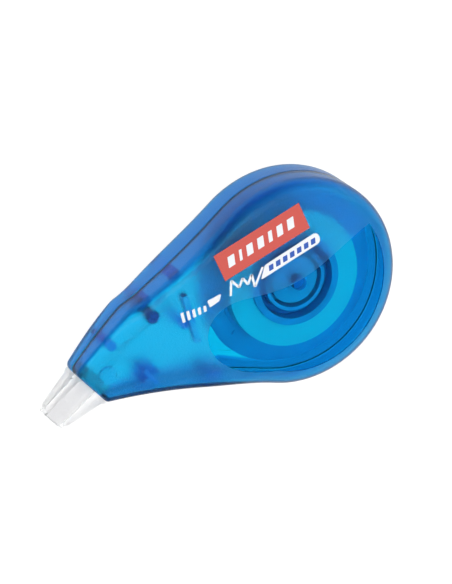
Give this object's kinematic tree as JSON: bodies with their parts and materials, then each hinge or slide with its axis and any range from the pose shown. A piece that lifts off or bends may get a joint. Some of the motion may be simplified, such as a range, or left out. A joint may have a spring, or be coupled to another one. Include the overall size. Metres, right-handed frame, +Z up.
{
  "type": "correction tape roller",
  "caption": "Hand-held correction tape roller: a teardrop case of clear blue plastic round two coaxial reels that turn together as tape is pulled over the tip",
  "frame": {"origin": "the point of the back shell's flat outer face under the reels' shared axle", "axes": "+X runs from the tip to the round end along the case, +Y runs across it towards the side with the grip, +Z runs up the axle from the back face to the printed front face; the tip lies towards -X"},
  "size_m": [0.0874, 0.048, 0.0157],
  "materials": {
    "case_plastic_back": "clear blue polystyrene, lightly frosted outside",
    "case_plastic_front": "clear blue polystyrene, frosted with a polished window",
    "label_print": "red printed film",
    "tip_plastic": "milky clear plastic",
    "guide_plastic": "moulded blue plastic",
    "cap_plastic": "moulded grey plastic",
    "drum_plastic": "moulded blue plastic",
    "liner_paper": "siliconed glassine paper",
    "clutch_rubber": "soft rubber",
    "core_plastic": "moulded blue plastic",
    "tape_white": "matt white correction film on its liner",
    "washer_plastic": "thin polyester sheet",
    "tape_at_tip": "tape stretched over the tip",
    "tape_white_run": "matt white tape seen edge on",
    "liner_run": "siliconed glassine paper"
  },
  "bodies": {
    "case": {"back_shell": "case_plastic_back", "front_shell": "case_plastic_front", "front_label": "label_print", "applicator_head": "tip_plastic", "guide_pin": "guide_plastic", "reel_cap": "cap_plastic", "tape_supply_run": "tape_white_run", "tape_tip_loop": "tape_at_tip", "liner_return_run": "liner_run"},
    "take_up_reel": {"take_up_drum": "drum_plastic", "liner_turns": "liner_paper", "clutch_ring": "clutch_rubber"},
    "supply_reel": {"supply_core": "core_plastic", "tape_roll": "tape_white", "slip_washer": "washer_plastic"}
  },
  "joints": [
    {"name": "supply_spin", "type": "hinge", "parent": "case", "child": "supply_reel", "pos_m": [0, 0, 0.0095], "axis": [0, 0, 1], "continuous": true},
    {"name": "take_up_spin", "type": "hinge", "parent": "case", "child": "take_up_reel", "pos_m": [0, 0, 0.0065], "axis": [0, 0, 1], "continuous": true}
  ],
  "couplings": [
    {"joint": "take_up_spin", "follows": "supply_spin", "ratio": 0.866}
  ]
}
